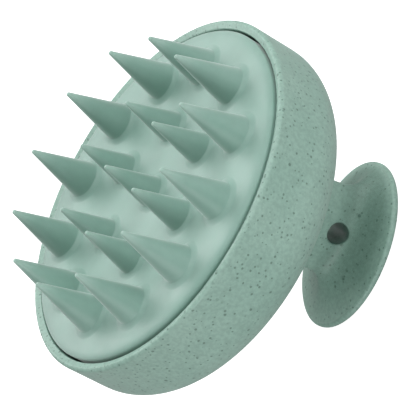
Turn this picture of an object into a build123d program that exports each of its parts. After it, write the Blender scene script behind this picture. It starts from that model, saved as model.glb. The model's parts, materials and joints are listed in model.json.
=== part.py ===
"""Scalp massager brush: a round head with a silicone bristle pad, leaning on a finger-knob handle.

Frame: millimetres, +Z up. The origin is the centre of the knob's flat back, on which the brush
stands. The head has a frame of its own, whose Z runs out along the bristles and whose origin is the
middle of the pad's face. It leans LEAN degrees from +Z towards +X.
"""
from build123d import *
from math import cos, hypot, radians, sin
import os

OVERLAP = 0.5  # how far joined solids and cuts reach past each other
TOLERANCE = 0.001

# Head frame, measured from the knob's back
LEAN = 10.1  # head axis from +Z, towards +X
HEAD_X = -2.2
HEAD_Z = 49.9

# Head shell: a round cup, open towards the bristles
SHELL_R = 40.3
RIM_Z = 0.4  # the rim's crest, above the middle of the pad's face
RIM_EDGE_R = 0.8
SHELL_MOUTH_R = 38.25
MOUTH_Z = 0.0  # the rim slopes down to its mouth
MOUTH_EDGE_R = 0.3
STRAIGHT_DEPTH = 10.3  # depth of the wall's straight stretch
BACK_Z = -21.7
BACK_FLAT_R = 26.0
FLOOR_Z = -19.3
FLOOR_FLAT_R = 24.5
SEAT_Z = -7.6  # shoulder under the pad's skirt
SEAT_R = 36.1
SEAT_DEPTH_Z = -12.5

# Bristle pad: one silicone moulding
PAD_R = 37.75
PAD_FLAT_R = 18.0
PAD_DISH_R = 30.0
PAD_DISH = 1.2  # the face is this much higher near its edge
PAD_EDGE_Z = 0.65  # where the face meets its rounded edge
PAD_EDGE_R = 0.7
PAD_EDGE_FALL = 0.12  # slope of the face there
PAD_UNDER_Z = -2.4
SKIRT_BORE_R = 35.35
SKIRT_Z = -7.2
LIP_BORE_R = 33.2
LIP_Z = -5.65

# Bristles: (count, radius of the ring, first angle, base height, base radius, length, lean inwards)
BRISTLE_TIP_R = 0.5
BRISTLE_ROOT = 0.6  # how far a bristle reaches into the pad
BRISTLE_FILLET = 1.0
BRISTLE_RINGS = (
    (1, 0.0, 0.0, 0.0, 3.6, 12.8, 0.0),
    (6, 15.3, 30.0, 0.0, 3.6, 12.6, 1.4),
    (12, 28.4, 15.0, 1.15, 4.3, 14.8, 1.9),
)

# Pad carrier: the rigid plate inside the pad
CARRIER_R = 35.3
CARRIER_PLATE = 2.2
CARRIER_RIM_BORE_R = 32.4
CARRIER_RIB = 1.6
CARRIER_RIB_Z = -7.8
CARRIER_HUB_R = 8.0
PEG_COUNT = 3
PEG_CIRCLE_R = 25.0
PEG_FIRST_ANGLE = 60.0
PEG_R = 2.95
PEG_END_Z = -16.4
PEG_CHAMFER = 0.6
SOCKET_R = 3.0
SOCKET_BOSS_R = 4.9
SOCKET_TOP_Z = -9.0
SOCKET_END_Z = -17.2

# Handle: thin-rimmed knob, waisted neck and foot in one moulding
KNOB_HALF_X = 19.0
KNOB_HALF_Y = 15.4
KNOB_RIM_THICK = 1.7  # the knob's rim
KNOB_RIM_R = 0.8
FACE_HALF_X = 18.1  # where the hollow face meets the rim
FACE_HALF_Y = 14.5
NECK_X = 2.5
NECK_Y = -1.2
WAIST_Z = 9.1
WAIST_HALF_X = 10.0
WAIST_HALF_Y = 3.4
FOOT_Z = 30.9
FOOT_HALF_X = 15.5
FOOT_HALF_Y = 9.4
FACE_POWER_X = 2.4  # how quickly the face flattens below the waist
FACE_POWER_Y = 4.4
DRIFT_POWER = 3.0  # how quickly the neck's centre line moves back to the knob's axis
FOOT_POWER = 2.2
FACE_STEPS = 16
FACE_SPACING = 0.4  # below 1, the sections lie closer together towards the rim
FOOT_STEPS = 8
FACE_LAP = 0.1
HANG_HOLE_R = 2.4
HANG_HOLE_X = 2.3
HANG_HOLE_Z = 7.4
HANG_HOLE_EDGE_R = 0.4

# Self-tapping screws that hold the handle's foot to the shell
SCREW_SPACING = 14.0
SCREW_R = 1.4
SCREW_LENGTH = 11.0  # under the head
SCREW_HEAD_R = 2.8
SCREW_HEAD = 1.8
SCREW_HEAD_EDGE_R = 0.6
SCREW_CLEARANCE_R = 1.65
SCREW_PILOT_R = 1.42
SCREW_PILOT_DEPTH = 9.5
DRIVE_ARM = 3.2
DRIVE_WIDTH = 0.8
DRIVE_DEPTH = 1.1

HEAD = Plane(
    origin=(HEAD_X, 0, HEAD_Z),
    x_dir=(cos(radians(LEAN)), 0, -sin(radians(LEAN))),
    z_dir=(sin(radians(LEAN)), 0, cos(radians(LEAN))),
)


def polar(radius, degrees, z=0.0):
    """A place in the head frame, given as a radius and an angle about its axis."""
    return Pos(radius * cos(radians(degrees)), radius * sin(radians(degrees)), z)


def upright(radius, bottom, top):
    """A solid round bar about the local Z axis."""
    bar = Cylinder(radius, top - bottom, align=(Align.CENTER, Align.CENTER, Align.MIN))
    return Pos(0, 0, bottom) * bar


def peg_places():
    """The pegs' axes, and their sockets'."""
    return [polar(PEG_CIRCLE_R, PEG_FIRST_ANGLE + k * 360 / PEG_COUNT) for k in range(PEG_COUNT)]


def foot_centre_x():
    """Where the neck's centre line meets the shell's back, along the head frame's X."""
    lean = radians(LEAN)
    across = NECK_X - HEAD_X
    rise = (BACK_Z - across * sin(lean)) / cos(lean)
    return across * cos(lean) - rise * sin(lean)


def screw_places():
    """The two screws' axes in the head frame."""
    return [Pos(foot_centre_x() + side * SCREW_SPACING / 2, NECK_Y, 0) for side in (-1, 1)]


def head_shell():
    """The cup with its seat for the pad, three peg sockets and two screw holes."""
    wall_x = SHELL_R - BACK_FLAT_R
    wall_z = STRAIGHT_DEPTH + BACK_Z
    inner_x = SEAT_R - FLOOR_FLAT_R
    inner_z = FLOOR_Z - SEAT_DEPTH_Z
    mouth = (SHELL_MOUTH_R, MOUTH_Z - MOUTH_EDGE_R)
    with BuildSketch(Plane.XZ) as section:
        with BuildLine():
            Polyline((0, BACK_Z), (BACK_FLAT_R, BACK_Z))
            EllipticalCenterArc(
                (BACK_FLAT_R, -STRAIGHT_DEPTH), wall_x, abs(wall_z), start_angle=270, arc_size=90
            )
            Line((SHELL_R, -STRAIGHT_DEPTH), (SHELL_R, RIM_Z - RIM_EDGE_R))
            RadiusArc((SHELL_R, RIM_Z - RIM_EDGE_R), (SHELL_R - RIM_EDGE_R, RIM_Z), -RIM_EDGE_R)
            Line((SHELL_R - RIM_EDGE_R, RIM_Z), (SHELL_MOUTH_R + MOUTH_EDGE_R, MOUTH_Z))
            RadiusArc((SHELL_MOUTH_R + MOUTH_EDGE_R, MOUTH_Z), mouth, -MOUTH_EDGE_R)
            Polyline(
                mouth,
                (SHELL_MOUTH_R, SEAT_Z),
                (SEAT_R, SEAT_Z),
                (SEAT_R, SEAT_DEPTH_Z),
            )
            EllipticalCenterArc(
                (FLOOR_FLAT_R, SEAT_DEPTH_Z), inner_x, abs(inner_z), start_angle=270, arc_size=90
            )
            Polyline((FLOOR_FLAT_R, FLOOR_Z), (0, FLOOR_Z), (0, BACK_Z))
        make_face()
    shell = revolve(section.sketch, Axis.Z)
    for place in peg_places():
        shell += place * upright(SOCKET_BOSS_R, FLOOR_Z - OVERLAP, SOCKET_TOP_Z)
        shell -= place * upright(SOCKET_R, SOCKET_END_Z, SOCKET_TOP_Z + OVERLAP)
    for place in screw_places():
        shell -= place * upright(SCREW_CLEARANCE_R, BACK_Z - OVERLAP, FLOOR_Z + OVERLAP)
    return HEAD * shell


def bristle(base_r, length):
    """A tapering bristle with a round tip and a hollow curve round its foot, base at z = 0."""
    taper = (base_r - BRISTLE_TIP_R) / (length - BRISTLE_TIP_R)
    foot = BRISTLE_FILLET
    with BuildSketch(Plane.XZ) as section:
        with BuildLine():
            Polyline((0, length), (0, -BRISTLE_ROOT), (base_r + foot, -BRISTLE_ROOT), (base_r + foot, 0))
            Spline(
                (base_r + foot, 0),
                (base_r - taper * foot, foot),
                tangents=((-1, 0), (-taper, 1)),
            )
            Line((base_r - taper * foot, foot), (BRISTLE_TIP_R, length - BRISTLE_TIP_R))
            RadiusArc((BRISTLE_TIP_R, length - BRISTLE_TIP_R), (0, length), -BRISTLE_TIP_R)
        make_face()
    return revolve(section.sketch, Axis.Z)


def bristle_pad():
    """The dished pad with its bristles, and a skirt that hooks round the carrier's edge."""
    shoulder = (PAD_R - PAD_EDGE_R, PAD_EDGE_Z)
    side = (PAD_R, PAD_EDGE_Z - PAD_EDGE_R)
    with BuildSketch(Plane.XZ) as section:
        with BuildLine():
            Line((0, 0), (PAD_FLAT_R, 0))
            Spline((PAD_FLAT_R, 0), (PAD_DISH_R, PAD_DISH), tangents=((1, 0), (1, 0)))
            Spline((PAD_DISH_R, PAD_DISH), shoulder, tangents=((1, 0), (1, -PAD_EDGE_FALL)))
            RadiusArc(shoulder, side, -PAD_EDGE_R)
            Polyline(
                side,
                (PAD_R, SKIRT_Z),
                (LIP_BORE_R, SKIRT_Z),
                (LIP_BORE_R, LIP_Z),
                (SKIRT_BORE_R, LIP_Z),
                (SKIRT_BORE_R, PAD_UNDER_Z),
                (0, PAD_UNDER_Z),
                (0, 0),
            )
        make_face()
    pad = revolve(section.sketch, Axis.Z)
    for count, ring_r, first, base_z, base_r, length, lean in BRISTLE_RINGS:
        cone = bristle(base_r, length)
        for k in range(count):
            turn = first + k * 360 / count
            pad += Rot(0, 0, turn) * Pos(ring_r, 0, base_z) * Rot(0, -lean, 0) * cone
    return HEAD * pad


def pad_carrier():
    """The plate that backs the pad, with a stiff rim, ribs, and three pegs that plug into the shell."""
    plate_under = PAD_UNDER_Z - CARRIER_PLATE
    carrier = upright(CARRIER_R, plate_under, PAD_UNDER_Z)
    rim = upright(CARRIER_R, LIP_Z, plate_under) - upright(CARRIER_RIM_BORE_R, LIP_Z, plate_under)
    hub = upright(CARRIER_HUB_R, CARRIER_RIB_Z, plate_under)
    carrier += rim
    carrier += hub - upright(CARRIER_HUB_R - CARRIER_RIB, CARRIER_RIB_Z, plate_under)
    rib_length = CARRIER_RIM_BORE_R - CARRIER_HUB_R
    for k in range(2 * PEG_COUNT):
        rib = Box(
            rib_length + 2 * OVERLAP,
            CARRIER_RIB,
            plate_under - CARRIER_RIB_Z,
            align=(Align.MIN, Align.CENTER, Align.MIN),
        )
        turn = PEG_FIRST_ANGLE + k * 180 / PEG_COUNT
        carrier += Rot(0, 0, turn) * Pos(CARRIER_HUB_R - OVERLAP, 0, CARRIER_RIB_Z) * rib
    peg = chamfer(upright(PEG_R, PEG_END_Z, plate_under).edges().sort_by(Axis.Z)[0], PEG_CHAMFER)
    for place in peg_places():
        carrier += place * peg
    return HEAD * carrier


def neck_section(z):
    """The oval section at one height, from the knob's face up to the foot."""
    if z < WAIST_Z:
        share = (WAIST_Z - z) / (WAIST_Z - KNOB_RIM_THICK)
        centred = 1 - share**DRIFT_POWER
        half_x = WAIST_HALF_X + (FACE_HALF_X - WAIST_HALF_X) * share**FACE_POWER_X
        half_y = WAIST_HALF_Y + (FACE_HALF_Y - WAIST_HALF_Y) * share**FACE_POWER_Y
        return Pos(NECK_X * centred, NECK_Y * centred, z) * Ellipse(half_x, half_y)
    share = ((z - WAIST_Z) / (FOOT_Z - WAIST_Z)) ** FOOT_POWER
    half_x = WAIST_HALF_X + (FOOT_HALF_X - WAIST_HALF_X) * share
    half_y = WAIST_HALF_Y + (FOOT_HALF_Y - WAIST_HALF_Y) * share
    return Pos(NECK_X, NECK_Y, z) * Ellipse(half_x, half_y)


def is_hole_mouth(edge):
    """Whether an edge lies round the hang hole."""
    places = [edge.position_at(k / 4) for k in range(4)]
    radii = [hypot(place.X - HANG_HOLE_X, place.Z - HANG_HOLE_Z) for place in places]
    return all(abs(radius - HANG_HOLE_R) < TOLERANCE for radius in radii)


def handle():
    """The oval knob with its hollow face, and the waisted neck, cut off flush at the shell's back."""
    rim = extrude(Ellipse(KNOB_HALF_X, KNOB_HALF_Y), KNOB_RIM_THICK)
    rim = fillet(rim.edges(), KNOB_RIM_R)
    face_z = KNOB_RIM_THICK - FACE_LAP
    heights = []
    for k in range(FACE_STEPS):
        heights.append(WAIST_Z - (WAIST_Z - face_z) * (1 - k / FACE_STEPS) ** FACE_SPACING)
    for k in range(FOOT_STEPS + 1):
        heights.append(WAIST_Z + (FOOT_Z - WAIST_Z) * k / FOOT_STEPS)
    body = rim + loft([neck_section(z) for z in heights])
    body -= HEAD * upright(2 * SHELL_R, BACK_Z, BACK_Z + 2 * SHELL_R)
    hole = Rot(90, 0, 0) * Cylinder(HANG_HOLE_R, 4 * KNOB_HALF_Y)
    body -= Pos(HANG_HOLE_X, 0, HANG_HOLE_Z) * hole
    body = fillet(body.edges().filter_by(is_hole_mouth), HANG_HOLE_EDGE_R)
    for place in screw_places():
        body -= HEAD * place * upright(SCREW_PILOT_R, BACK_Z - SCREW_PILOT_DEPTH, BACK_Z + OVERLAP)
    return body


def handle_screws():
    """Two pan-head screws, driven from inside the shell into the handle's foot."""
    under_head = FLOOR_Z
    screw = upright(SCREW_R, under_head - SCREW_LENGTH, under_head)
    screw += upright(SCREW_HEAD_R, under_head, under_head + SCREW_HEAD)
    top = screw.edges().sort_by(Axis.Z)[-1]
    screw = fillet(top, SCREW_HEAD_EDGE_R)
    for arm in ((DRIVE_ARM, DRIVE_WIDTH), (DRIVE_WIDTH, DRIVE_ARM)):
        slot = Box(*arm, DRIVE_DEPTH, align=(Align.CENTER, Align.CENTER, Align.MAX))
        screw -= Pos(0, 0, under_head + SCREW_HEAD) * slot
    return Compound(children=[HEAD * place * screw for place in screw_places()])


def main():
    """Writes one STEP file for each sub-part."""
    os.makedirs("parts", exist_ok=True)
    parts = {
        "head_shell": head_shell(),
        "bristle_pad": bristle_pad(),
        "pad_carrier": pad_carrier(),
        "handle": handle(),
        "handle_screws": handle_screws(),
    }
    for name, shape in parts.items():
        export_step(shape, f"parts/{name}.step")
        print(name, round(shape.volume), "mm3")


main()
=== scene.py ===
"""Scalp massager brush: a speckled plastic head and finger-knob handle round a silicone bristle pad.

The moulded shell, handle, carrier and screws are the frame's own solids and get their finishes here.
The bristle pad is made here as one closed skin: Geometry Nodes set rings of bristles into the holes of
a flat face, weld them to it, dish the face and roll its edge. Lengths are in metres, angles in degrees,
and the brush stands on its knob.
"""
from __future__ import annotations

import json
import logging
import math
from collections.abc import Sequence
from dataclasses import dataclass
from enum import Enum
from typing import Any

import bmesh
import bpy
from mathutils import Matrix, Vector, geometry

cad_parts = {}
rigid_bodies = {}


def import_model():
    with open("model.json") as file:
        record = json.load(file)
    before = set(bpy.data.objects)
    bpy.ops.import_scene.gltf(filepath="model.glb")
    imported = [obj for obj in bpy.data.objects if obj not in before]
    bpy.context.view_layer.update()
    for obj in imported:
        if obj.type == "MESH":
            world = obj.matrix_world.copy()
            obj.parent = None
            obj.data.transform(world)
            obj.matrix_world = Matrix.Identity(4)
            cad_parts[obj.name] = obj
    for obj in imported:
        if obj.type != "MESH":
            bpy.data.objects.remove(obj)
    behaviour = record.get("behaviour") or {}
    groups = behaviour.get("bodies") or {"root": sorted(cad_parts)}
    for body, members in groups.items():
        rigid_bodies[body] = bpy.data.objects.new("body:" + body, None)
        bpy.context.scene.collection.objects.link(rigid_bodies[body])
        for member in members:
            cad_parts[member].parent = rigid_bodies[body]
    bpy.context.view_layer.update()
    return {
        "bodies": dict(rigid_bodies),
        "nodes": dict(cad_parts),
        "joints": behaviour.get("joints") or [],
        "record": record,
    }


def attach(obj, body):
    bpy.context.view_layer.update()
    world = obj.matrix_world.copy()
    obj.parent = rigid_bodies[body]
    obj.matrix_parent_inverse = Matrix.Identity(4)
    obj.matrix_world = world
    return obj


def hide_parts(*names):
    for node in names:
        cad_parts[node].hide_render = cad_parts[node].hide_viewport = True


LOG = logging.getLogger("scalp_brush")
MM = 0.001
WHITE = (1.0, 1.0, 1.0, 1.0)
Colour = tuple[float, float, float, float]
Ring = list[Vector]


class Body(Enum):
    """The body that the piece made here rides with."""

    CARTRIDGE = "pad_cartridge"


class Part(Enum):
    """The frame's nodes."""

    SHELL = "head_shell"
    PAD = "bristle_pad"
    CARRIER = "pad_carrier"
    HANDLE = "handle"
    SCREWS = "handle_screws"


class Slot(Enum):
    """The finishes' names in the record."""

    PLASTIC = "speckled_plastic"
    SILICONE = "silicone"
    INNER = "inner_plastic"
    STEEL = "screw_steel"


def circle(count: int, radius: float, height: float = 0.0, centre: Sequence[float] = (0.0, 0.0),
           turn: float = 0.0) -> Ring:
    """Returns points evenly round a level circle.

    Args:
        count: How many points.
        radius: The circle's radius.
        height: Its height.
        centre: Its middle, seen from above.
        turn: Where the first point lies, in radians from the X axis.
    """
    x, y = centre
    turns = [turn + math.tau * k / count for k in range(count)]
    return [Vector((x + radius * math.cos(t), y + radius * math.sin(t), height)) for t in turns]


class Wiring:
    """Adds nodes to one shader or geometry tree, and links or sets their inputs."""

    def __init__(self, tree: bpy.types.NodeTree) -> None:
        """Starts on an empty tree.

        Args:
            tree: The tree that gets the nodes.
        """
        self.tree = tree

    def feed(self, socket: bpy.types.NodeSocket, value: Any) -> None:
        """Links a socket to an output, or gives it a plain value.

        Args:
            socket: The input.
            value: An output socket, or a value of the input's own kind.
        """
        if isinstance(value, bpy.types.NodeSocket):
            self.tree.links.new(value, socket)
        else:
            socket.default_value = value

    def add(self, kind: str, inputs: dict[Any, Any] | None = None, **settings: Any) -> bpy.types.Node:
        """Adds one node.

        Args:
            kind: The node's type name.
            inputs: Values or output sockets, by input name or number.
            settings: The node's own properties.

        Returns:
            The new node.
        """
        node = self.tree.nodes.new(kind)
        for name, value in settings.items():
            setattr(node, name, value)
        for name, value in (inputs or {}).items():
            self.feed(node.inputs[name], value)
        return node

    def math(self, operation: str, first: Any, second: Any = 0.0) -> bpy.types.NodeSocket:
        """Returns the result of a Math node.

        Args:
            operation: The node's operation, such as MULTIPLY.
            first: First value.
            second: Second value, which some operations leave out.
        """
        return self.add("ShaderNodeMath", {0: first, 1: second}, operation=operation).outputs[0]

    def ease(self, value: Any, low: Any, high: Any, to_low: float = 0.0, to_high: float = 1.0,
             smooth: bool = True) -> bpy.types.NodeSocket:
        """Returns a value carried from one range to another, held at the ends.

        Args:
            value: The value.
            low: Start of its range.
            high: End of its range.
            to_low: Result at the start.
            to_high: Result at the end.
            smooth: Whether the change eases in and out.
        """
        kind = "SMOOTHSTEP" if smooth else "LINEAR"
        inputs = {0: value, 1: low, 2: high, 3: to_low, 4: to_high}
        return self.add("ShaderNodeMapRange", inputs, interpolation_type=kind).outputs[0]


@dataclass(frozen=True)
class Specks:
    """One kind of scattered speck.

    Attributes:
        spacing: Distance between the places where a speck can be.
        radius: Radius of the largest speck.
        share: Share of those places that hold one.
        ragged: How far a speck's outline wanders, in metres.
        strength: How much of its colour a speck gives.
    """

    spacing: float
    radius: float
    share: float
    ragged: float
    strength: float


class Finish(Wiring):
    """A Principled material whose patterns follow the piece's own coordinates."""

    WANDER_WIDTH = 2.2
    SMALLEST_SPECK = 0.45
    SOLID_CORE = 0.55
    EDGE_STARTS = 0.995
    EDGE_FULL = 0.88

    def __init__(self, name: str) -> None:
        """Makes the material with its shader and output.

        Args:
            name: The material's name.
        """
        self.material = bpy.data.materials.new(name)
        self.material.use_nodes = True
        super().__init__(self.material.node_tree)
        self.tree.nodes.clear()
        self.shader = self.add("ShaderNodeBsdfPrincipled")
        self.add("ShaderNodeOutputMaterial", {"Surface": self.shader.outputs[0]})
        self.place = self.add("ShaderNodeTexCoord").outputs["Object"]

    def set(self, **values: Any) -> None:
        """Sets or links the shader's inputs, named in lower case with underscores."""
        for name, value in values.items():
            self.feed(self.shader.inputs[name.replace("_", " ").title().replace("Ior", "IOR")], value)

    def noise(self, size: float, detail: float = 2.0, roughness: float = 0.5,
              stretch: tuple[float, float, float] = (1.0, 1.0, 1.0)) -> bpy.types.NodeSocket:
        """Returns a noise between 0 and 1.

        Args:
            size: Width of its largest features.
            detail: How many finer layers it has.
            roughness: How strong those layers are.
            stretch: How much longer the features are along each axis.
        """
        place = self.place
        if stretch != (1.0, 1.0, 1.0):
            scale = tuple(1.0 / factor for factor in stretch)
            place = self.add("ShaderNodeMapping", {"Vector": place, "Scale": scale}).outputs[0]
        inputs = {"Vector": place, "Scale": 1.0 / size, "Detail": detail, "Roughness": roughness}
        return self.add("ShaderNodeTexNoise", inputs).outputs["Fac"]

    def specks(self, kind: Specks) -> bpy.types.NodeSocket:
        """Returns a mask of scattered specks of uneven size.

        Args:
            kind: The specks' spacing, size, share and raggedness.
        """
        scale = 1.0 / (self.WANDER_WIDTH * kind.radius)
        wander = self.add("ShaderNodeTexNoise", {"Vector": self.place, "Scale": scale})
        centred = self.add("ShaderNodeVectorMath", {0: wander.outputs["Color"], 1: (0.5, 0.5, 0.5)},
                           operation="SUBTRACT").outputs[0]
        push = self.add("ShaderNodeVectorMath", {0: centred, "Scale": 2.0 * kind.ragged},
                        operation="SCALE").outputs[0]
        place = self.add("ShaderNodeVectorMath", {0: self.place, 1: push}, operation="ADD").outputs[0]
        cells = self.add("ShaderNodeTexVoronoi",
                         {"Vector": place, "Scale": 1.0 / kind.spacing, "Randomness": 1.0})
        draw = self.add("ShaderNodeSeparateColor", {0: cells.outputs["Color"]})
        chosen = self.math("LESS_THAN", draw.outputs[0], kind.share)
        smallest = self.SMALLEST_SPECK * kind.radius / kind.spacing
        reach = self.ease(draw.outputs[1], 0.0, 1.0, smallest, kind.radius / kind.spacing, smooth=False)
        inner = self.math("MULTIPLY", reach, self.SOLID_CORE)
        dot = self.ease(cells.outputs["Distance"], inner, reach, 1.0, 0.0)
        return self.math("MULTIPLY", chosen, dot)

    def blend(self, factor: Any, first: Any, second: Any) -> bpy.types.NodeSocket:
        """Returns a mix of two colours.

        Args:
            factor: 0 for the first colour, 1 for the second.
            first: First colour.
            second: Second colour.
        """
        node = self.add("ShaderNodeMix", {0: factor, 6: first, 7: second}, data_type="RGBA")
        return node.outputs[2]

    def shade(self, colour: Any, value: Any) -> bpy.types.NodeSocket:
        """Returns a colour made lighter or darker by a factor about 1."""
        return self.add("ShaderNodeHueSaturation", {"Color": colour, "Value": value}).outputs[0]

    def edges(self, radius: float) -> bpy.types.NodeSocket:
        """Returns a mask that rises to 1 on convex and hollow edges.

        Args:
            radius: How far from an edge the mask reaches.
        """
        soft = self.add("ShaderNodeBevel", {"Radius": radius}, samples=4).outputs[0]
        flat = self.add("ShaderNodeNewGeometry").outputs["Normal"]
        match = self.add("ShaderNodeVectorMath", {0: soft, 1: flat}, operation="DOT_PRODUCT").outputs["Value"]
        return self.ease(match, self.EDGE_STARTS, self.EDGE_FULL)

    def hollows(self, reach: float) -> bpy.types.NodeSocket:
        """Returns a mask that is 1 in the open and falls towards 0 in deep hollows.

        Args:
            reach: How far away the hollow's walls still count.
        """
        return self.add("ShaderNodeAmbientOcclusion", {"Distance": reach}, samples=8).outputs["AO"]

    def relief(self, layers: list[tuple[Any, float]]) -> None:
        """Adds a bump made of several height patterns.

        Args:
            layers: Each pattern with its depth in metres.
        """
        total: Any = 0.0
        for pattern, depth in layers:
            total = self.math("ADD", total, self.math("MULTIPLY", pattern, depth))
        bump = self.add("ShaderNodeBump", {"Strength": 1.0, "Distance": 1.0, "Height": total})
        self.set(normal=bump.outputs[0])


@dataclass(frozen=True)
class SpeckledPlastic:
    """Straw-filled plastic: a soft green with specks, paler flecks, and rubbed edges that also carry a
    painted highlight.

    Painted shade darkens the knob's occluded hollows: it fades out above the knob, and begins past its outer
    rim.
    """

    base: Colour = (0.262, 0.418, 0.352, 1.0)
    cloud: Colour = (0.298, 0.458, 0.388, 1.0)
    speck: Colour = (0.075, 0.140, 0.110, 1.0)
    fleck: Colour = (0.145, 0.240, 0.192, 1.0)
    # rubbed: pale edge colour, partly wear and partly a painted highlight on the rim's outer edge.
    rubbed: Colour = (0.450, 0.610, 0.535, 1.0)
    # hollow: the painted shade colour laid into the knob's occluded hollows.
    hollow: Colour = (0.036, 0.100, 0.072, 1.0)
    painted_shade_reach: float = 30 * MM
    painted_shade_strength: float = 0.95
    painted_shade_above: float = 0.1
    knob_top: tuple[float, float] = (6 * MM, 11 * MM)
    knob_rim: tuple[float, float] = (1.5 * MM, 2.4 * MM)
    open_share: tuple[float, float] = (0.25, 0.9)
    small_specks: Specks = Specks(1.00 * MM, 0.36 * MM, 0.60, 0.14 * MM, 0.66)
    large_specks: Specks = Specks(2.4 * MM, 0.54 * MM, 0.50, 0.26 * MM, 0.72)
    pale_flecks: Specks = Specks(2.3 * MM, 0.50 * MM, 0.50, 0.30 * MM, 0.45)
    rubbed_highlight_width: float = 0.5 * MM
    roughness: float = 0.46

    def build(self) -> bpy.types.Material:
        """Returns the material."""
        finish = Finish(Slot.PLASTIC.value)
        clouds = finish.noise(14 * MM, detail=3.0)
        mottle = finish.noise(0.8 * MM, detail=2.0, roughness=0.6)
        small = finish.specks(self.small_specks)
        large = finish.specks(self.large_specks)
        pale = finish.specks(self.pale_flecks)
        colour = finish.blend(finish.ease(clouds, 0.35, 0.65), self.base, self.cloud)
        colour = finish.shade(colour, finish.ease(mottle, 0.3, 0.7, 0.89, 1.07))
        colour = finish.blend(finish.math("MULTIPLY", pale, self.pale_flecks.strength), colour, self.fleck)
        colour = finish.blend(finish.math("MULTIPLY", small, self.small_specks.strength), colour, self.speck)
        colour = finish.blend(finish.math("MULTIPLY", large, self.large_specks.strength), colour, self.speck)
        # Rubbed edges: partly wear, partly a painted highlight streak along the rim's outer edge.
        edges = finish.edges(self.rubbed_highlight_width)
        worn = finish.math("MULTIPLY", edges, finish.ease(mottle, 0.25, 0.7, 0.1, 0.5))
        colour = finish.blend(worn, colour, self.rubbed)
        # Painted shade: an ambient-occlusion mask darkens the knob's face and hollows, fading out above the
        # knob.
        height = finish.add("ShaderNodeSeparateXYZ", {0: finish.place}).outputs[2]
        knob = finish.ease(height, *self.knob_top, self.painted_shade_strength, self.painted_shade_above)
        over_rim = finish.ease(height, *self.knob_rim)
        deep = finish.ease(finish.hollows(self.painted_shade_reach), *self.open_share, 1.0, 0.0)
        painted_shade_mask = finish.math("MULTIPLY", finish.math("MULTIPLY", knob, over_rim), deep)
        colour = finish.blend(painted_shade_mask, colour, self.hollow)
        grain = finish.noise(0.22 * MM, detail=2.0, roughness=0.6)
        polish = finish.ease(mottle, 0.2, 0.8, self.roughness - 0.05, self.roughness + 0.08)
        polish = finish.math("SUBTRACT", polish, finish.math("MULTIPLY", worn, 0.1))
        finish.set(base_color=colour, roughness=polish, specular_ior_level=0.5)
        finish.relief([(grain, 0.010 * MM), (mottle, 0.012 * MM), (small, -0.012 * MM), (large, 0.018 * MM)])
        return finish.material


@dataclass(frozen=True)
class Silicone:
    """Soft satin silicone: fine moulded grain, a little dust, and painted light that makes the bristles' thin
    tips paler.
    """

    base: Colour = (0.242, 0.396, 0.338, 1.0)
    thick: Colour = (0.220, 0.376, 0.316, 1.0)
    # Painted light colour for the bristles' tips.
    painted_tip_light: Colour = (0.360, 0.510, 0.450, 1.0)
    dust: Colour = (0.620, 0.720, 0.670, 1.0)
    roughness: float = 0.44
    scatter: float = 0.22
    scatter_depth: float = 1.4 * MM
    sheen: float = 0.60
    sheen_roughness: float = 0.45
    dust_motes: Specks = Specks(2.6 * MM, 0.09 * MM, 0.35, 0.04 * MM, 0.35)

    def build(self) -> bpy.types.Material:
        """Returns the material."""
        finish = Finish(Slot.SILICONE.value)
        rise = finish.add("ShaderNodeAttribute", attribute_name=BristlePad.RISE).outputs["Fac"]
        clouds = finish.noise(9 * MM, detail=2.0)
        haze = finish.noise(1.6 * MM, detail=3.0, roughness=0.65)
        grain = finish.noise(0.16 * MM, detail=1.0)
        motes = finish.specks(self.dust_motes)
        colour = finish.blend(finish.ease(clouds, 0.3, 0.7), self.thick, self.base)
        # Painted light: the bristles' upper parts blend to a paler colour, standing for light through the
        # thin tips.
        colour = finish.blend(finish.ease(rise, 0.6, 1.0, 0.0, 0.8), colour, self.painted_tip_light)
        colour = finish.shade(colour, finish.ease(haze, 0.3, 0.7, 0.975, 1.02))
        colour = finish.blend(finish.math("MULTIPLY", motes, self.dust_motes.strength), colour, self.dust)
        finish.set(base_color=colour, specular_ior_level=0.42)
        finish.set(roughness=finish.ease(haze, 0.25, 0.75, self.roughness - 0.05, self.roughness + 0.07))
        finish.set(subsurface_weight=self.scatter, subsurface_scale=self.scatter_depth)
        finish.set(subsurface_radius=(0.7, 1.0, 0.85))
        finish.set(sheen_weight=self.sheen, sheen_roughness=self.sheen_roughness)
        finish.relief([(grain, 0.006 * MM), (haze, 0.010 * MM), (motes, 0.012 * MM)])
        return finish.material


@dataclass(frozen=True)
class InnerPlastic:
    """Plain moulded plastic of the hidden carrier: flow lines, fine grain and rubbed edges."""

    base: Colour = (0.520, 0.600, 0.560, 1.0)
    flow: Colour = (0.580, 0.655, 0.615, 1.0)
    rubbed: Colour = (0.700, 0.760, 0.730, 1.0)
    roughness: float = 0.38

    def build(self) -> bpy.types.Material:
        """Returns the material."""
        finish = Finish(Slot.INNER.value)
        flow = finish.noise(7 * MM, detail=4.0, stretch=(3.0, 0.8, 1.0))
        grain = finish.noise(0.3 * MM, detail=2.0)
        worn = finish.math("MULTIPLY", finish.edges(0.5 * MM), 0.6)
        colour = finish.blend(finish.ease(flow, 0.35, 0.65), self.base, self.flow)
        colour = finish.blend(worn, colour, self.rubbed)
        finish.set(base_color=colour)
        finish.set(roughness=finish.ease(flow, 0.3, 0.7, self.roughness - 0.06, self.roughness + 0.08))
        finish.relief([(grain, 0.006 * MM), (flow, 0.015 * MM)])
        return finish.material


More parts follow.
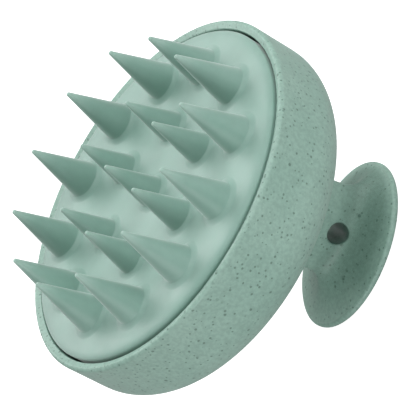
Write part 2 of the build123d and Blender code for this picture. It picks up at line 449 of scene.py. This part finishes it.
@dataclass(frozen=True)
class ScrewSteel:
    """Zinc-plated steel: turned lines, a mottled plating and bright rubbed edges."""

    base: Colour = (0.560, 0.570, 0.580, 1.0)
    dull: Colour = (0.360, 0.360, 0.350, 1.0)
    bright: Colour = (0.800, 0.800, 0.790, 1.0)
    roughness: float = 0.30

    def build(self) -> bpy.types.Material:
        """Returns the material."""
        finish = Finish(Slot.STEEL.value)
        plating = finish.noise(0.9 * MM, detail=4.0, roughness=0.65)
        lines = finish.noise(0.12 * MM, detail=1.0, stretch=(8.0, 8.0, 1.0))
        colour = finish.blend(finish.ease(plating, 0.3, 0.7), self.dull, self.base)
        colour = finish.blend(finish.math("MULTIPLY", finish.edges(0.2 * MM), 0.7), colour, self.bright)
        finish.set(base_color=colour, metallic=1.0)
        finish.set(roughness=finish.ease(plating, 0.3, 0.7, self.roughness + 0.12, self.roughness - 0.06))
        finish.relief([(lines, 0.004 * MM), (plating, 0.004 * MM)])
        return finish.material


@dataclass(frozen=True)
class FloorPaint:
    """Matt studio floor: white to the camera, and dimmer to every other ray so that it lights less."""

    albedo: float = 0.45
    glow: float = 0.12
    seen_glow: float = 0.95
    roughness: float = 0.9

    def build(self) -> bpy.types.Material:
        """Returns the material."""
        finish = Finish("studio_floor")
        tone = finish.ease(finish.noise(40 * MM, detail=3.0), 0.3, 0.7, 0.995, 1.0)
        base = finish.shade((self.albedo, self.albedo, self.albedo, 1.0), tone)
        finish.set(base_color=base, roughness=self.roughness, specular_ior_level=0.1)
        seen = finish.add("ShaderNodeLightPath").outputs["Is Camera Ray"]
        glow = finish.ease(seen, 0.0, 1.0, self.glow, self.seen_glow, smooth=False)
        finish.set(emission_color=WHITE, emission_strength=glow)
        return finish.material


@dataclass(frozen=True)
class HeadFrame:
    """The head's own frame: Z along the bristles, origin at the middle of the pad's face."""

    matrix: Matrix

    RIM_ABOVE_FACE = 0.4 * MM

    @classmethod
    def measured(cls, frame: dict[str, Any]) -> HeadFrame:
        """Finds the frame from the joint's axis and the shell's own solid.


        Returns:
            The head's frame.
        """
        out = Vector(frame["joints"][0]["axis"]).normalized()
        side = Vector((0.0, 1.0, 0.0))
        along = side.cross(out)
        places = [vertex.co for vertex in frame["nodes"][Part.SHELL.value].data.vertices]
        origin = Vector()
        for axis in (along, side):
            reach = [axis.dot(place) for place in places]
            origin += axis * (min(reach) + max(reach)) / 2
        origin += out * (max(out.dot(place) for place in places) - cls.RIM_ABOVE_FACE)
        turn = Matrix((along, side, out)).transposed().to_4x4()
        return cls(Matrix.Translation(origin) @ turn)


@dataclass(frozen=True)
class BristleRing:
    """One ring of equal bristles.

    Attributes:
        count: How many bristles.
        ring_radius: Distance of their feet from the head's axis.
        first_angle: Where the first one stands.
        base_radius: A bristle's radius above its collar.
        length: A bristle's length from the face.
        lean: How far it leans towards the axis.
    """

    count: int
    ring_radius: float
    first_angle: float
    base_radius: float
    length: float
    lean: float

    def centres(self) -> list[Vector]:
        """Returns the middles of the bristles' feet on the flat face."""
        turns = [math.radians(self.first_angle) + math.tau * k / self.count for k in range(self.count)]
        return [Vector((math.cos(turn), math.sin(turn))) * self.ring_radius for turn in turns]


class FieldTree(Wiring):
    """A Geometry Nodes tree with named inputs, kept as a modifier's recipe."""

    WELD_GAP = 0.004 * MM

    def __init__(self, name: str, inputs: dict[str, type]) -> None:
        """Makes the tree with its sockets.

        Args:
            name: The tree's name.
            inputs: Name and kind of each input, after the incoming mesh.
        """
        super().__init__(bpy.data.node_groups.new(name, "GeometryNodeTree"))
        kinds = {int: "NodeSocketInt", float: "NodeSocketFloat", bpy.types.Material: "NodeSocketMaterial"}
        face = self.tree.interface
        face.new_socket("Mesh", in_out="INPUT", socket_type="NodeSocketGeometry")
        face.new_socket("Mesh", in_out="OUTPUT", socket_type="NodeSocketGeometry")
        self.keys = {
            label: face.new_socket(label, in_out="INPUT", socket_type=kinds[kind]).identifier
            for label, kind in inputs.items()
        }
        self.given = self.add("NodeGroupInput").outputs

    def close(self, mesh: bpy.types.NodeSocket) -> None:
        """Realizes, welds, smooths and dresses the mesh, and sends it out.

        Args:
            mesh: The finished geometry.
        """
        real = self.add("GeometryNodeRealizeInstances", {"Geometry": mesh}).outputs[0]
        weld = {"Geometry": real, "Distance": self.WELD_GAP}
        welded = self.add("GeometryNodeMergeByDistance", weld).outputs[0]
        smooth = self.add("GeometryNodeSetShadeSmooth", {"Geometry": welded}).outputs[0]
        dress = {"Geometry": smooth, "Material": self.given["Material"]}
        dressed = self.add("GeometryNodeSetMaterial", dress).outputs[0]
        self.add("NodeGroupOutput", {0: dressed})

    def apply_to(self, item: bpy.types.Object, values: dict[str, Any]) -> None:
        """Puts the tree on an object as a modifier.

        Args:
            item: The object.
            values: Each input's value, by name.
        """
        modifier = item.modifiers.new(self.tree.name, "NODES")
        for label, value in values.items():
            modifier[self.keys[label]] = value
        modifier.node_group = self.tree


@dataclass(frozen=True)
class BristlePad:
    """The silicone pad: face, rolled edge, skirt with its hooked lip, and three rings of bristles."""

    RISE = "rise"
    RING = "ring_radius"
    FEWEST_POINTS = 8
    EDGE_STEPS = 16
    UNDERSIDE_STEPS = 12
    SAME_POINT = 1e-7
    SEAM_GAP = 0.002 * MM
    WITHIN_HOLE = 0.995
    FACE_FLOOR = -0.01 * MM
    FOOT_ENDS = 0.28
    TIP_STARTS = 0.8
    FOOT_CURVE = 1.5
    ROW_CROWDING = 1.6

    radius: float = 37.75 * MM
    flat_radius: float = 18.0 * MM
    dish_radius: float = 30.0 * MM
    dish: float = 1.2 * MM
    edge_drop: float = 1.25 * MM
    edge_power: float = 4.0
    meshed_radius: float = 34.3 * MM
    skirt_depth: float = 7.2 * MM
    lip_radius: float = 33.2 * MM
    lip_depth: float = 5.65 * MM
    bore_radius: float = 35.35 * MM
    thickness: float = 2.4 * MM
    corner: float = 0.3 * MM
    foot_width: float = 1.2 * MM
    foot_height: float = 0.6 * MM
    tip_radius: float = 0.5 * MM
    blend_height: float = 3.0 * MM
    segments: int = 192
    foot_segments: int = 44
    rows: int = 40
    grid: float = 1.25 * MM
    rings: tuple[BristleRing, ...] = (
        BristleRing(1, 0.0, 0.0, 3.6 * MM, 12.8 * MM, 0.0),
        BristleRing(6, 15.3 * MM, 30.0, 3.6 * MM, 12.6 * MM, 1.4),
        BristleRing(12, 28.4 * MM, 15.0, 4.3 * MM, 14.8 * MM, 1.9),
    )

    def holes(self) -> list[tuple[Vector, float, float]]:
        """Returns each bristle's middle, foot radius and turn on the face."""
        found = []
        for ring in self.rings:
            for k, centre in enumerate(ring.centres()):
                turn = math.radians(ring.first_angle) + math.tau * k / ring.count
                found.append((centre, ring.base_radius + self.foot_width, turn))
        return found

    def face_points(self) -> tuple[list[Vector], list[tuple[int, int]]]:
        """Returns the flat face's points, and the edges that it keeps round its rim and its holes."""
        points: list[Vector] = []
        edges: list[tuple[int, int]] = []
        holes = self.holes()
        loops = [circle(self.segments, self.meshed_radius)]
        loops += [circle(self.foot_segments, foot, centre=centre, turn=turn) for centre, foot, turn in holes]
        for loop in loops:
            first = len(points)
            edges += [(first + k, first + (k + 1) % len(loop)) for k in range(len(loop))]
            points += loop
        steps = int(self.meshed_radius / self.grid)
        clear = 0.5 * self.grid
        for step in range(1, steps):
            radius = self.meshed_radius * step / steps
            count = max(self.FEWEST_POINTS, int(math.tau * radius / self.grid))
            for point in circle(count, radius):
                if all((point.xy - centre).length > foot + clear for centre, foot, _ in holes):
                    points.append(point)
        return points, edges

    def add_face(self, mesh: bmesh.types.BMesh) -> None:
        """Adds the flat face, with a round hole for each bristle.

        Args:
            mesh: The pad's mesh.
        """
        points, edges = self.face_points()
        found = geometry.delaunay_2d_cdt([point.xy for point in points], edges, [], 0, self.SAME_POINT)
        places, triangles = found[0], found[2]
        vertices = [mesh.verts.new((place.x, place.y, 0.0)) for place in places]
        holes = self.holes()
        for corners in triangles:
            middle = sum((places[k] for k in corners), Vector((0.0, 0.0))) / len(corners)
            if any((middle - centre).length < self.WITHIN_HOLE * foot for centre, foot, _ in holes):
                continue
            if middle.length > self.meshed_radius:
                continue
            across = places[corners[1]] - places[corners[0]]
            back = places[corners[2]] - places[corners[0]]
            order = corners if across.cross(back) > 0 else corners[::-1]
            mesh.faces.new([vertices[k] for k in order])

    def outline(self) -> list[tuple[float, float]]:
        """Returns the pad's outline as radius and height, from the face's rim down and in underneath."""
        width = self.radius - self.meshed_radius
        steps = self.EDGE_STEPS
        rim = [self.meshed_radius + width * math.sin(math.pi / 2 * k / steps) for k in range(steps + 1)]
        outline = [(radius, 0.0) for radius in rim]
        side = -self.skirt_depth
        turn = self.corner
        outline += [(self.radius, side / 2), (self.radius, side + turn), (self.radius - turn, side)]
        outline += [(self.lip_radius + turn, side), (self.lip_radius, side + turn)]
        outline += [(self.lip_radius, -self.lip_depth - turn), (self.lip_radius + turn, -self.lip_depth)]
        outline += [(self.bore_radius, -self.lip_depth), (self.bore_radius, -self.thickness)]
        steps = self.UNDERSIDE_STEPS
        outline += [(self.bore_radius * (1 - k / steps), -self.thickness) for k in range(1, steps)]
        return outline

    def add_sides(self, mesh: bmesh.types.BMesh) -> None:
        """Adds the rolled edge, skirt, lip and underside.

        Args:
            mesh: The pad's mesh.
        """
        rings = [[mesh.verts.new(place) for place in circle(self.segments, r, h)] for r, h in self.outline()]
        for upper, lower in zip(rings, rings[1:]):
            for k in range(self.segments):
                after = (k + 1) % self.segments
                mesh.faces.new((upper[k], lower[k], lower[after], upper[after]))
        middle = mesh.verts.new((0.0, 0.0, -self.thickness))
        for k in range(self.segments):
            mesh.faces.new((rings[-1][k], middle, rings[-1][(k + 1) % self.segments]))

    def blank(self) -> bpy.types.Object:
        """Returns the pad with a flat, holed face, before its bristles."""
        mesh = bmesh.new()
        self.add_face(mesh)
        self.add_sides(mesh)
        bmesh.ops.remove_doubles(mesh, verts=mesh.verts, dist=self.SEAM_GAP)
        data = bpy.data.meshes.new("pad_blank")
        mesh.to_mesh(data)
        mesh.free()
        item = bpy.data.objects.new("pad_blank", data)
        bpy.context.scene.collection.objects.link(item)
        return item

    def ring_tree(self) -> FieldTree:
        """Returns the tree that adds one ring of bristles and welds their feet to the face."""
        sizes = ("Ring Radius", "First Angle", "Base Radius", "Length", "Tip Radius", "Foot Width",
                 "Foot Height", "Lean")
        inputs = {"Count": int, "Around": int, "Rows": int} | {name: float for name in sizes}
        tree = FieldTree("bristle_ring", inputs | {"Material": bpy.types.Material})
        given = tree.given
        columns = tree.math("ADD", given["Around"], 1.0)
        sheet = tree.add("GeometryNodeMeshGrid", {0: 1.0, 1: 1.0, 2: columns, 3: given["Rows"]}).outputs[0]
        here = tree.add("ShaderNodeSeparateXYZ", {0: tree.add("GeometryNodeInputPosition").outputs[0]})
        turn = tree.math("MULTIPLY", tree.math("ADD", here.outputs[0], 0.5), math.tau)
        way = tree.math("ADD", here.outputs[1], 0.5)
        radius, height = self.bristle_section(tree, way)
        lean = tree.math("MULTIPLY", height, tree.math("TANGENT", given["Lean"]))
        across = tree.math("SUBTRACT", tree.math("MULTIPLY", radius, tree.math("COSINE", turn)), lean)
        aside = tree.math("MULTIPLY", radius, tree.math("SINE", turn))
        place = tree.add("ShaderNodeCombineXYZ", {0: across, 1: aside, 2: height}).outputs[0]
        marks = {
            self.RISE: tree.math("DIVIDE", height, given["Length"]),
            self.RING: given["Ring Radius"],
        }
        for name, value in marks.items():
            sheet = tree.add("GeometryNodeStoreNamedAttribute",
                             {"Geometry": sheet, "Name": name, "Value": value}).outputs[0]
        bristle = tree.add("GeometryNodeSetPosition", {"Geometry": sheet, "Position": place}).outputs[0]
        step = tree.math("DIVIDE", math.tau, given["Count"])
        along = tree.math("MULTIPLY", tree.add("GeometryNodeInputIndex").outputs[0], step)
        angle = tree.math("ADD", along, given["First Angle"])
        ring_x = tree.math("MULTIPLY", given["Ring Radius"], tree.math("COSINE", angle))
        ring_y = tree.math("MULTIPLY", given["Ring Radius"], tree.math("SINE", angle))
        spot = tree.add("ShaderNodeCombineXYZ", {0: ring_x, 1: ring_y}).outputs[0]
        spots = tree.add("GeometryNodePoints", {"Count": given["Count"], "Position": spot}).outputs[0]
        spin = tree.add("ShaderNodeCombineXYZ", {2: angle}).outputs[0]
        facing = tree.add("FunctionNodeEulerToRotation", {0: spin}).outputs[0]
        copies = tree.add("GeometryNodeInstanceOnPoints",
                          {"Points": spots, "Instance": bristle, "Rotation": facing}).outputs[0]
        joined = tree.add("GeometryNodeJoinGeometry")
        tree.feed(joined.inputs[0], copies)
        tree.feed(joined.inputs[0], given["Mesh"])
        tree.close(joined.outputs[0])
        return tree

    def bristle_section(self, tree: FieldTree, way: Any) -> tuple[Any, Any]:
        """Returns a bristle's radius and height along its outline.

        Args:
            tree: The tree that holds the sizes.
            way: How far along the outline, from 0 at the foot to 1 at the tip.

        Returns:
            The radius and the height: a low collar round the foot, a straight taper whose rows crowd
            towards the foot, and a round tip.
        """
        given = tree.given
        base, foot, tip = given["Base Radius"], given["Foot Height"], given["Tip Radius"]
        body = tree.math("SUBTRACT", given["Length"], tip)
        taper = tree.math("DIVIDE", tree.math("SUBTRACT", base, tip), body)
        hollow = tree.ease(way, 0.0, self.FOOT_ENDS, smooth=False)
        side = tree.ease(way, self.FOOT_ENDS, self.TIP_STARTS, smooth=False)
        straight = tree.math("POWER", side, self.ROW_CROWDING)
        round_off = tree.ease(way, self.TIP_STARTS, 1.0, 0.0, math.pi / 2, smooth=False)
        flare = tree.math("MULTIPLY", given["Foot Width"], tree.math("SUBTRACT", 1.0, hollow))
        climb = tree.math("MULTIPLY", foot, tree.math("POWER", hollow, self.FOOT_CURVE))
        height = tree.math("MULTIPLY_ADD", straight, tree.math("SUBTRACT", body, foot))
        tree.feed(height.node.inputs[2], climb)
        radius = tree.math("SUBTRACT", tree.math("ADD", base, flare), tree.math("MULTIPLY", taper, height))
        shrink = tree.math("SUBTRACT", 1.0, tree.math("COSINE", round_off))
        radius = tree.math("SUBTRACT", radius, tree.math("MULTIPLY", tip, shrink))
        cap = tree.math("MULTIPLY", tip, tree.math("SINE", round_off))
        return radius, tree.math("ADD", height, cap)

    def dish_tree(self) -> FieldTree:
        """Returns the tree that dishes the face, rolls its edge, and lifts the bristles with it."""
        sizes = ("Radius", "Flat Radius", "Dish Radius", "Dish", "Edge Drop", "Edge Power", "Blend Height")
        tree = FieldTree("pad_dish", {name: float for name in sizes} | {"Material": bpy.types.Material})
        given = tree.given
        place = tree.add("GeometryNodeInputPosition").outputs[0]
        here = tree.add("ShaderNodeSeparateXYZ", {0: place})
        flat = tree.add("ShaderNodeCombineXYZ", {0: here.outputs[0], 1: here.outputs[1]}).outputs[0]
        reach = tree.add("ShaderNodeVectorMath", {0: flat}, operation="LENGTH").outputs["Value"]
        ring = tree.add("GeometryNodeInputNamedAttribute", {"Name": self.RING}, data_type="FLOAT").outputs[0]
        height = here.outputs[2]
        follow = tree.ease(height, 0.0, given["Blend Height"])
        shift = tree.math("MULTIPLY", follow, tree.math("SUBTRACT", ring, reach))
        radius = tree.math("ADD", reach, shift)
        slope = tree.ease(radius, given["Flat Radius"], given["Dish Radius"])
        lift = tree.math("MULTIPLY", given["Dish"], slope)
        over = tree.ease(radius, given["Dish Radius"], given["Radius"], smooth=False)
        bend = tree.math("SUBTRACT", 1.0, tree.math("POWER", over, given["Edge Power"]))
        roll = tree.math("SUBTRACT", 1.0, tree.math("SQRT", tree.math("MAXIMUM", bend, 0.0)))
        rise = tree.math("SUBTRACT", lift, tree.math("MULTIPLY", given["Edge Drop"], roll))
        offset = tree.add("ShaderNodeCombineXYZ", {2: rise}).outputs[0]
        face = tree.math("GREATER_THAN", height, self.FACE_FLOOR)
        moved = tree.add("GeometryNodeSetPosition",
                         {"Geometry": given["Mesh"], "Selection": face, "Offset": offset}).outputs[0]
        tree.close(moved)
        return tree

    def build(self, head: HeadFrame, silicone: bpy.types.Material) -> bpy.types.Object:
        """Makes the pad and puts it in the head.

        Args:
            head: The head's frame.
            silicone: The pad's finish.

        Returns:
            The finished piece, riding with the cartridge.
        """
        blank = self.blank()
        ring_tree = self.ring_tree()
        shared = {
            "Around": self.foot_segments,
            "Rows": self.rows,
            "Tip Radius": self.tip_radius,
            "Foot Width": self.foot_width,
            "Foot Height": self.foot_height,
        }
        for ring in self.rings:
            own = {
                "Count": ring.count,
                "Ring Radius": ring.ring_radius,
                "First Angle": math.radians(ring.first_angle),
                "Base Radius": ring.base_radius,
                "Length": ring.length,
                "Lean": math.radians(ring.lean),
            }
            ring_tree.apply_to(blank, shared | own | {"Material": silicone})
        dish = {
            "Radius": self.radius,
            "Flat Radius": self.flat_radius,
            "Dish Radius": self.dish_radius,
            "Dish": self.dish,
            "Edge Drop": self.edge_drop,
            "Edge Power": self.edge_power,
            "Blend Height": self.blend_height,
        }
        self.dish_tree().apply_to(blank, dish | {"Material": silicone})
        pad = plain_copy(blank, "silicone_pad")
        pad.data.transform(head.matrix)
        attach(pad, Body.CARTRIDGE.value)
        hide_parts(Part.PAD.value)
        LOG.info("%s: %d faces", pad.name, len(pad.data.polygons))
        return pad


def plain_copy(item: bpy.types.Object, name: str) -> bpy.types.Object:
    """Turns an object with modifiers into a plain mesh object, and removes the first one.

    Args:
        item: The object with its modifiers.
        name: Name of the new object and its mesh.

    Returns:
        The plain object.
    """
    now = bpy.context.evaluated_depsgraph_get()
    data = bpy.data.meshes.new_from_object(item.evaluated_get(now), depsgraph=now)
    data.name = name
    item.modifiers.clear()
    bpy.data.objects.remove(item)
    made = bpy.data.objects.new(name, data)
    bpy.context.scene.collection.objects.link(made)
    return made


@dataclass(frozen=True)
class MouldedPart:
    """A solid of the frame that keeps its shape and gets its finish here."""

    part: Part

    def dress(self, frame: dict[str, Any], finish: bpy.types.Material) -> None:
        """Puts the finish on every slot of the solid.

        Args:
            finish: The material.
        """
        item = frame["nodes"][self.part.value]
        for slot in item.material_slots:
            slot.material = finish
        LOG.info("%s: %s", item.name, finish.name)


@dataclass(frozen=True)
class Lamp:
    """A soft rectangular studio lamp that the camera doesn't see.

    Attributes:
        name: The lamp's name.
        power: Its power in watts.
        size: Its width and height.
        place: Where it stands, from the point that it faces.
    """

    name: str
    power: float
    size: tuple[float, float]
    place: tuple[float, float, float]

    def build(self, target: Vector) -> bpy.types.Object:
        """Makes the lamp and turns it to the object.

        Args:
            target: The point that it faces.

        Returns:
            The lamp's object.
        """
        data = bpy.data.lights.new(self.name, "AREA")
        data.shape = "RECTANGLE"
        data.size, data.size_y = self.size
        data.energy = self.power
        lamp = bpy.data.objects.new(self.name, data)
        lamp.visible_camera = False
        lamp.location = target + Vector(self.place)
        lamp.rotation_euler = (target - lamp.location).to_track_quat("-Z", "Y").to_euler()
        bpy.context.scene.collection.objects.link(lamp)
        return lamp


@dataclass(frozen=True)
class Studio:
    """White surroundings, soft lamps, a pale floor and the camera."""

    NEAREST_SEEN = 0.01

    azimuth: float = 10.4
    elevation: float = 27.9
    roll: float = 72.3
    distance: float = 0.480
    lens: float = 208.1
    aim: tuple[float, float, float] = (0.1 * MM, -4.0 * MM, 41.2 * MM)
    floor_size: float = 30.0
    sky: float = 0.31
    lamps: tuple[Lamp, ...] = (
        Lamp("key", 3.3, (0.70, 0.70), (0.41, -0.12, 0.50)),
        Lamp("side", 0.7, (0.5, 0.35), (0.50, -0.45, 0.10)),
        Lamp("back", 3.3, (0.6, 0.4), (0.0, 0.54, 0.50)),
        Lamp("front", 1.5, (0.5, 0.16), (-0.38, -0.56, 0.06)),
    )

    def camera(self) -> bpy.types.Object:
        """Makes the scene's camera, rolled so that the brush lies on its side in the view."""
        around, up, roll = (math.radians(a) for a in (self.azimuth, self.elevation, self.roll))
        back = Vector((math.sin(around) * math.cos(up), -math.cos(around) * math.cos(up), math.sin(up)))
        level = Vector((math.cos(around), math.sin(around), 0.0))
        above = back.cross(level)
        right = level * math.cos(roll) - above * math.sin(roll)
        turn = Matrix((right, back.cross(right), back)).transposed().to_4x4()
        data = bpy.data.cameras.new("camera")
        data.lens = self.lens
        data.clip_start = self.NEAREST_SEEN
        item = bpy.data.objects.new("camera", data)
        item.matrix_world = Matrix.Translation(Vector(self.aim) + back * self.distance) @ turn
        bpy.context.scene.collection.objects.link(item)
        bpy.context.scene.camera = item
        return item

    def floor(self) -> bpy.types.Object:
        """Makes the floor, level with the knob's back."""
        half = self.floor_size / 2
        corners = [(-half, -half, 0.0), (half, -half, 0.0), (half, half, 0.0), (-half, half, 0.0)]
        data = bpy.data.meshes.new("floor")
        data.from_pydata(corners, [], [(0, 1, 2, 3)])
        data.materials.append(FloorPaint().build())
        item = bpy.data.objects.new("floor", data)
        bpy.context.scene.collection.objects.link(item)
        return item

    def surroundings(self) -> bpy.types.World:
        """Makes the surroundings: white to the camera, and a dimmer light to every other ray."""
        world = bpy.data.worlds.new("white_room")
        world.use_nodes = True
        wiring = Wiring(world.node_tree)
        world.node_tree.nodes.clear()
        seen = wiring.add("ShaderNodeLightPath").outputs["Is Camera Ray"]
        strength = wiring.ease(seen, 0.0, 1.0, self.sky, 1.0, smooth=False)
        light = wiring.add("ShaderNodeBackground", {"Color": WHITE, "Strength": strength})
        wiring.add("ShaderNodeOutputWorld", {"Surface": light.outputs[0]})
        bpy.context.scene.world = world
        return world

    def build(self) -> None:
        """Sets up the whole studio."""
        bpy.context.scene.view_settings.view_transform = "Standard"
        self.surroundings()
        self.floor()
        self.camera()
        for lamp in self.lamps:
            lamp.build(Vector(self.aim))
        LOG.info("studio: %d lamps", len(self.lamps))


def main() -> None:
    """Builds the brush and its studio."""
    logging.basicConfig(level=logging.INFO, format="%(name)s: %(message)s")
    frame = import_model()
    plastic = SpeckledPlastic().build()
    MouldedPart(Part.SHELL).dress(frame, plastic)
    MouldedPart(Part.HANDLE).dress(frame, plastic)
    MouldedPart(Part.CARRIER).dress(frame, InnerPlastic().build())
    MouldedPart(Part.SCREWS).dress(frame, ScrewSteel().build())
    BristlePad().build(HeadFrame.measured(frame), Silicone().build())
    Studio().build()


if __name__ == "__main__":
    main()
